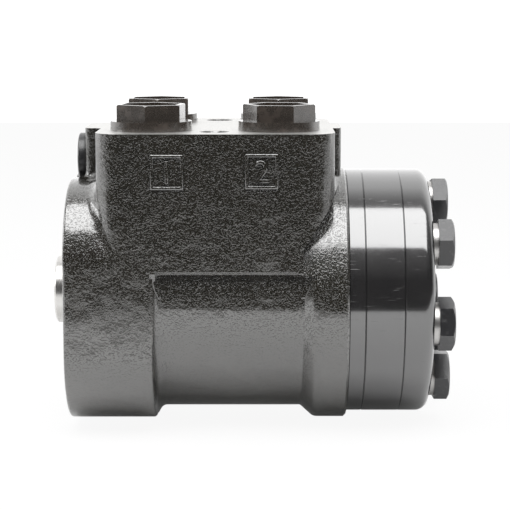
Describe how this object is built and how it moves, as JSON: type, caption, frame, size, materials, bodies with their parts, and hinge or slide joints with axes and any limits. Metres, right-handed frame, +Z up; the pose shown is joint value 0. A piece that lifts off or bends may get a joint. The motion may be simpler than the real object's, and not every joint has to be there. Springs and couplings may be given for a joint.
{
  "type": "orbital steering unit",
  "caption": "Hydraulic orbital steering unit: cast housing with port block, rotary spool and sleeve valve, drive shaft, gerotor set, end cover, bolts and port plugs.",
  "frame": {"origin": "centre of the column mounting face on the main axis", "axes": "+X along the main axis from the mounting face to the end cover, +Z up to the port face, +Y away from the picture's viewer"},
  "size_m": [0.1479, 0.095, 0.1203],
  "materials": {
    "cast_paint": "semi-gloss black paint over cast iron",
    "disc_paint": "gloss black paint over machined steel",
    "bolt_black": "black painted bolt steel",
    "washer_metal": "plain metal washer",
    "steel": "ground steel",
    "spring_steel": "hardened spring steel",
    "rubber": "black rubber",
    "slide_ring": "filled plastic slide ring",
    "plug_plastic": "black plastic"
  },
  "bodies": {
    "casing": {"housing": "cast_paint", "distributor_plate": "disc_paint", "gerotor_ring": "disc_paint", "end_cover": "disc_paint", "cover_bolts": "bolt_black", "stop_pin_bolt": "bolt_black", "sealing_washers": "washer_metal", "housing_seal": "rubber", "plate_seal": "rubber", "ring_seal": "rubber", "front_race": "steel", "dust_seal": "rubber", "shaft_seal": "slide_ring", "seal_energiser": "rubber", "port_plug_seals": "plug_plastic", "relief_plug": "bolt_black", "relief_washer": "washer_metal", "relief_adjuster": "steel", "relief_spring": "spring_steel", "relief_seat": "steel", "check_seat": "steel", "check_stop_pin": "steel", "port_plug_1": "plug_plastic", "port_plug_2": "plug_plastic", "port_plug_3": "plug_plastic", "port_plug_4": "plug_plastic"},
    "sleeve": {"control_sleeve": "steel", "spring_ring": "steel", "centring_springs": "spring_steel", "cross_pin": "steel", "rear_race": "steel"},
    "spool": {"control_spool": "steel"},
    "bearing_cage": {"bearing_cage": "steel"},
    "orbit": {"star_spacer": "steel"},
    "star": {"gerotor_star": "steel"},
    "drive_shaft": {"drive_shaft": "steel"},
    "relief_poppet": {"relief_poppet": "steel"},
    "check_ball": {"check_ball": "steel"},
    "suction_ball": {"suction_ball": "steel"}
  },
  "joints": [
    {"name": "sleeve_turn", "type": "hinge", "parent": "casing", "child": "sleeve", "pos_m": [0.03575, 0, 0], "axis": [1, 0, 0], "continuous": true},
    {"name": "spool_turn", "type": "hinge", "parent": "sleeve", "child": "spool", "pos_m": [0.02325, 0, 0], "axis": [1, 0, 0], "range_deg": [-8, 8], "stiffness_Nm_per_rad": 8, "deforming": ["centring_springs"]},
    {"name": "cage_turn", "type": "hinge", "parent": "casing", "child": "bearing_cage", "pos_m": [0.01435, 0, 0], "axis": [1, 0, 0], "continuous": true},
    {"name": "star_orbit", "type": "hinge", "parent": "casing", "child": "orbit", "pos_m": [0.1151, 0, 0], "axis": [1, 0, 0], "continuous": true},
    {"name": "star_spin", "type": "hinge", "parent": "orbit", "child": "star", "pos_m": [0.1151, 0, 0.003], "axis": [1, 0, 0], "continuous": true},
    {"name": "shaft_spin", "type": "hinge", "parent": "orbit", "child": "drive_shaft", "pos_m": [0.03575, 0, 0], "axis": [0.9993, 0, 0.0378], "continuous": true},
    {"name": "relief_lift", "type": "slide", "parent": "casing", "child": "relief_poppet", "axis": [-1, 0, 0], "range_m": [0, 0.0015], "stiffness_N_per_m": 400, "deforming": ["relief_spring"]},
    {"name": "check_lift", "type": "slide", "parent": "casing", "child": "check_ball", "axis": [0, 0, 1], "range_m": [0, 0.0018]},
    {"name": "suction_lift", "type": "slide", "parent": "casing", "child": "suction_ball", "axis": [1, 0, 0], "range_m": [0, 0.002]}
  ],
  "couplings": [
    {"joint": "cage_turn", "follows": "sleeve_turn", "ratio": 0.5},
    {"joint": "star_orbit", "follows": "sleeve_turn", "ratio": -6},
    {"joint": "star_spin", "follows": "sleeve_turn", "ratio": 7},
    {"joint": "shaft_spin", "follows": "sleeve_turn", "ratio": 7}
  ]
}
